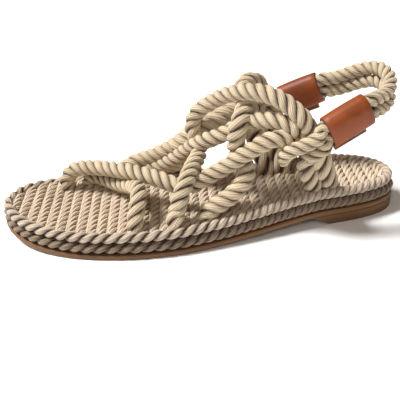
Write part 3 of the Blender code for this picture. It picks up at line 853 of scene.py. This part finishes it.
def hook_paths():
    """Paths of the sling's front ends, from inside each sleeve to behind the side loop."""
    paths = []
    for side in SLEEVES:
        mouth, _, along, up = sleeve_axis(side)
        for level, rows in ((1, SLING_HOOK), (-1, SLING_TUCK)):
            start = mouth + up * SLING_OFFSET * level
            points = [start + along * SLEEVE_REACH, start, start - along * STRAIGHT_OUT]
            points += [place_row(to_side(row, side)) for row in rows]
            paths.append([(point, 1.0, HOOK_TURN * level) for point in spline(points)])
    return paths


cotton = make_cotton("natural_cotton_strap_rope", ROPE_LIGHT, ROPE_SHADE, yarns=12,
                     groove=(0.78, 1.0))
straps = lay_ropes("strap_ropes", strap_paths(), cotton, Strands=3, Strand_Share=0.46,
                   Lead=STRAP_LEAD, Diameter=STRAP_DIAMETER, Step=0.0014, Sides=14,
                   Looseness=0.06, Seed=4.0)
legs = lay_ropes("side_loop_legs", leg_paths(), cotton, Strands=3, Strand_Share=0.46,
                 Lead=LEG_LEAD, Diameter=LEG_DIAMETER, Step=0.0013, Sides=14, Looseness=0.06,
                 Seed=8.0)
hooks = lay_ropes("sling_hooks", hook_paths(), cotton, Strands=3, Strand_Share=0.48,
                  Lead=SLING_LEAD, Diameter=SLING_DIAMETER, Step=0.0013, Sides=14,
                  Looseness=0.05, Seed=5.0)
for piece in (straps, legs, hooks):
    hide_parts("upper")
    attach(piece, "root")


# Heel sling: two thinner ropes of the same cotton, one above the other, that run from sleeve to
# sleeve behind the heel.
SLING_TURN = 0.8
HEEL_SLING = [
    # along, across and rise, as in the tables of the upper
    (0.915, -0.213, 0.818),
    (0.936, -0.158, 0.826),
    (0.952, -0.082, 0.860),
    (0.953, 0.016, 0.905),
    (0.938, 0.104, 0.918),
    (0.910, 0.169, 0.878),
    (0.879, 0.210, 0.822),
    (0.854, 0.228, 0.790),
]


def sling_path(level):
    """Path of one sling rope, from inside the outer sleeve to inside the inner one."""
    _, outer_end, outer_along, _ = sleeve_axis("outer")
    _, inner_end, inner_along, _ = sleeve_axis("inner")
    curve = spline([outer_end - outer_along * SLEEVE_REACH, outer_end,
                    outer_end + outer_along * STRAIGHT_OUT,
                    *[place_row(row) for row in HEEL_SLING],
                    inner_end + inner_along * STRAIGHT_OUT, inner_end,
                    inner_end - inner_along * SLEEVE_REACH])
    path = []
    for i, point in enumerate(curve):
        tangent = curve[min(i + 1, len(curve) - 1)] - curve[max(i - 1, 0)]
        tangent.normalize()
        up = (Vector((0.0, 0.0, 1.0)) - tangent * tangent.z).normalized()
        path.append((point + up * SLING_OFFSET * level, 1.0, SLING_TURN * level))
    return path


for level, node in ((1, "heel_rope_top"), (-1, "heel_rope_low")):
    sling = lay_ropes("sling_" + node, [sling_path(level)], cotton, Strands=3,
                      Strand_Share=0.48, Lead=SLING_LEAD, Diameter=SLING_DIAMETER,
                      Step=0.0013, Sides=14, Looseness=0.05, Seed=6.0 + level)
    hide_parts(node)
    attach(sling, "root")


# Sleeves: a piece of smooth tan leather is wrapped round both sling ropes at each side, and its
# two long edges are glued flat together below, which leaves a short flap.
LEATHER = "#8C4620"
LEATHER_DARK = "#592812"
LEATHER_EDGE = "#2E170C"
SLEEVE_ROOM = 0.0008
BOXINESS = 2.4
SLEEVE_WALL = 0.0014
SLEEVE_EDGE = 0.0004
SLEEVE_BULGE = 0.0003
HEM = 0.0040
FLAP_SHARE = 0.80
FLAP_DROP = 0.0034
FLAP_THICKNESS = 0.0026
FLAP_FLARE = 0.0008
FLAP_EDGE = 0.0006
FLAP_OVERLAP = 0.0002
FLAP_START = 0.0005
FLAP_HOLLOW = 0.0004
FLAP_TAPER = 0.82
# How dark the cut edges of the tube and of the flap are.
TUBE_WEAR = 0.75
FLAP_WEAR = 0.65
CREASE = math.radians(48.0)


def make_leather():
    """Smooth leather: semi-gloss with fine grain, darker patches and burnished cut edges."""
    item, tree, shader = new_material("smooth_tan_leather", 0.42, Specular_IOR_Level=0.3)
    place = add_node(tree, "ShaderNodeTexCoord").outputs["Object"]

    # Dye and handling leave patches of about 18 mm, and the darker ones shine a little more.
    patches = add_node(tree, "ShaderNodeTexNoise", None,
                       {"Vector": place, "Scale": 55.0, "Detail": 4.0, "Roughness": 0.55})
    handled = add_node(tree, "ShaderNodeMapRange", None,
                       {"Value": patches, "From Min": 0.42, "From Max": 0.72,
                        "To Min": 0.0, "To Max": 0.7})
    dyed = add_node(tree, "ShaderNodeMix", {"data_type": "RGBA"},
                    {0: handled, 6: linear(LEATHER), 7: linear(LEATHER_DARK)}).outputs[2]
    edge = add_node(tree, "ShaderNodeAttribute", {"attribute_name": "cut_edge"}).outputs["Fac"]
    colour = add_node(tree, "ShaderNodeMix", {"data_type": "RGBA"},
                      {0: edge, 6: dyed, 7: linear(LEATHER_EDGE)}).outputs[2]
    tree.links.new(colour, shader.inputs["Base Color"])
    gloss = add_node(tree, "ShaderNodeMapRange", None,
                     {"Value": patches, "From Min": 0.3, "From Max": 0.7,
                      "To Min": 0.36, "To Max": 0.52})
    tree.links.new(gloss.outputs["Result"], shader.inputs["Roughness"])

    # The grain's cells are about 0.7 mm.
    grain = add_node(tree, "ShaderNodeTexVoronoi", {"feature": "DISTANCE_TO_EDGE"},
                     {"Vector": place, "Scale": 1500.0}).outputs["Distance"]
    bump = add_node(tree, "ShaderNodeBump", None,
                    {"Strength": 0.18, "Distance": 0.0002, "Height": grain})
    tree.links.new(bump.outputs["Normal"], shader.inputs["Normal"])
    return item


def rounded_section(half_width, half_height, count):
    """Points round a box with very round corners."""
    points = []
    for k in range(count):
        a = math.cos(math.tau * k / count)
        b = math.sin(math.tau * k / count)
        points.append((math.copysign(abs(a) ** (2 / BOXINESS), a) * half_width,
                       math.copysign(abs(b) ** (2 / BOXINESS), b) * half_height))
    return points


def make_sleeve(side, finish):
    """Tube of leather round two ropes, with rounded cut edges and the glued flap below."""
    mouth, end, along, up = sleeve_axis(side)
    across = along.cross(up).normalized()
    length = (end - mouth).length
    half_width = SLING_DIAMETER / 2 + SLEEVE_ROOM
    half_height = SLING_OFFSET + SLING_DIAMETER / 2

    # Each row of the tube: place along it, and how far it stands out from the inner wall.
    hem = [(HEM, 0.0), (SLEEVE_EDGE, 0.0), (0.0, SLEEVE_EDGE), (0.0, SLEEVE_WALL - SLEEVE_EDGE),
           (SLEEVE_EDGE, SLEEVE_WALL)]
    spans = 8
    body = [(SLEEVE_EDGE + (length - 2 * SLEEVE_EDGE) * k / spans, SLEEVE_WALL)
            for k in range(1, spans)]
    rows = hem + body + [(length - t, grow) for t, grow in reversed(hem)]
    count = 40
    vertices = []
    worn = []
    faces = []
    for r, (t, grow) in enumerate(rows):
        stand = grow + SLEEVE_BULGE * math.sin(math.pi * t / length)
        for a, b in rounded_section(half_width + stand, half_height + stand, count):
            vertices.append(mouth + along * t + across * a + up * b)
        at_edge = min(t, length - t) <= SLEEVE_EDGE and grow < SLEEVE_WALL
        worn += [TUBE_WEAR if at_edge else 0.0] * count
        following = (r + 1) % len(rows)
        for i in range(count):
            j = (i + 1) % count
            faces.append((r * count + i, r * count + j, following * count + j,
                          following * count + i))

    # The flap is one closed bar. Its section goes from the tube's underside round its low edge.
    first = len(vertices)
    top = -half_height - FLAP_OVERLAP
    low = top - SLEEVE_WALL - FLAP_DROP + FLAP_EDGE
    half = FLAP_THICKNESS / 2
    right = [(half - FLAP_EDGE, low), (half, low + FLAP_EDGE), (half, top - SLEEVE_WALL),
             (half + FLAP_FLARE, top)]
    section = [(-a, b) for a, b in reversed(right)] + right
    reach = length * FLAP_SHARE
    flap_rows = [(FLAP_START + FLAP_HOLLOW, FLAP_TAPER), (FLAP_START, 1.0),
                 (reach - FLAP_EDGE, 1.0), (reach, FLAP_TAPER)]
    sides = len(section)
    for t, share in flap_rows:
        for a, b in section:
            vertices.append(mouth + along * t + across * a * share + up * b)
            worn.append(FLAP_WEAR if b < low + 2 * FLAP_EDGE else 0.0)
    for r in range(len(flap_rows) - 1):
        for i in range(sides):
            j = (i + 1) % sides
            a, b = first + r * sides, first + (r + 1) * sides
            faces.append((a + i, a + j, b + j, b + i))
    last = first + (len(flap_rows) - 1) * sides
    faces.append(tuple(first + i for i in range(sides)))
    faces.append(tuple(last + i for i in reversed(range(sides))))

    mesh = bpy.data.meshes.new("leather_sleeve_" + side)
    mesh.from_pydata(vertices, [], faces)
    mesh.attributes.new("cut_edge", "FLOAT", "POINT").data.foreach_set("value", worn)
    shape = bmesh.new()
    shape.from_mesh(mesh)
    bmesh.ops.recalc_face_normals(shape, faces=shape.faces)
    shape.to_mesh(mesh)
    shape.free()
    mesh.shade_smooth()
    mesh.set_sharp_from_angle(angle=CREASE)
    mesh.materials.append(finish)
    item = bpy.data.objects.new("leather_sleeve_" + side, mesh)
    bpy.context.scene.collection.objects.link(item)
    return item


leather = make_leather()
for side in SLEEVES:
    sleeve = make_sleeve(side, leather)
    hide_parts("sleeve_" + side)
    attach(sleeve, "root")


# Studio: a plain white paper floor, soft sunlight from the toe side and above, a weak lamp at
# the front, and the camera at the photograph's angle.
FLOOR_WHITE = "#FBFBFB"
FLOOR_REACH = 3.0
KEY_FROM = Vector((-0.52, 0.10, 0.80))
KEY_STRENGTH = 5.3
KEY_SPREAD = math.radians(16.0)
FRONT_FROM = Vector((-0.20, -0.90, 0.80))
FRONT_POWER = 3.0
FRONT_SIZE = 0.5
ROOM_LIGHT = "#FFE4C6"
ROOM_STRENGTH = 0.14
WALL_WHITE = "#F4F4F4"
WALL_STRENGTH = 0.9
CAMERA_AT = Vector((-0.0053, -0.3321, 0.2082))
CAMERA_TARGET = Vector((0.0007, 0.0015, 0.0101))
CAMERA_ROLL = math.radians(-4.11)
LENS = 54.093

mesh = bpy.data.meshes.new("floor")
mesh.from_pydata([(-FLOOR_REACH, -FLOOR_REACH, 0.0), (FLOOR_REACH, -FLOOR_REACH, 0.0),
                  (FLOOR_REACH, FLOOR_REACH, 0.0), (-FLOOR_REACH, FLOOR_REACH, 0.0)], [],
                 [(0, 1, 2, 3)])
paper = new_material("plain_white_paper", 0.9, Base_Color=linear(FLOOR_WHITE))[0]
mesh.materials.append(paper)
floor = bpy.data.objects.new("floor", mesh)
bpy.context.scene.collection.objects.link(floor)


def aim_lamp(lamp, at):
    """Puts a lamp into the scene, turned towards the sandal."""
    item = bpy.data.objects.new(lamp.name, lamp)
    bpy.context.scene.collection.objects.link(item)
    item.location = at
    item.rotation_euler = (-at).to_track_quat("-Z", "Y").to_euler()


key = bpy.data.lights.new("key", "SUN")
key.energy = KEY_STRENGTH
key.angle = KEY_SPREAD
aim_lamp(key, KEY_FROM)
front = bpy.data.lights.new("front", "AREA")
front.energy = FRONT_POWER
front.size = FRONT_SIZE
aim_lamp(front, FRONT_FROM)

# A warm room fills the shadows, and behind the floor the camera sees a pale wall.
world = bpy.data.worlds.new("studio")
bpy.context.scene.world = world
world.use_nodes = True
room = world.node_tree.nodes["Background"]
room.inputs["Color"].default_value = linear(ROOM_LIGHT)
room.inputs["Strength"].default_value = ROOM_STRENGTH
wall = add_node(world.node_tree, "ShaderNodeBackground", None,
                {"Color": linear(WALL_WHITE), "Strength": WALL_STRENGTH})
seen = add_node(world.node_tree, "ShaderNodeLightPath").outputs["Is Camera Ray"]
both = add_node(world.node_tree, "ShaderNodeMixShader", None, {0: seen, 1: room, 2: wall})
world.node_tree.links.new(both.outputs[0], world.node_tree.nodes["World Output"].inputs[0])
bpy.context.scene.view_settings.view_transform = "Standard"

camera = bpy.data.cameras.new("camera")
camera.sensor_width = 36.0
camera.lens = LENS
viewer = bpy.data.objects.new("camera", camera)
bpy.context.scene.collection.objects.link(viewer)
aim = (CAMERA_TARGET - CAMERA_AT).to_track_quat("-Z", "Y").to_matrix()
viewer.matrix_world = (Matrix.Translation(CAMERA_AT) @ aim.to_4x4()
                       @ Matrix.Rotation(CAMERA_ROLL, 4, "Z"))
bpy.context.scene.camera = viewer
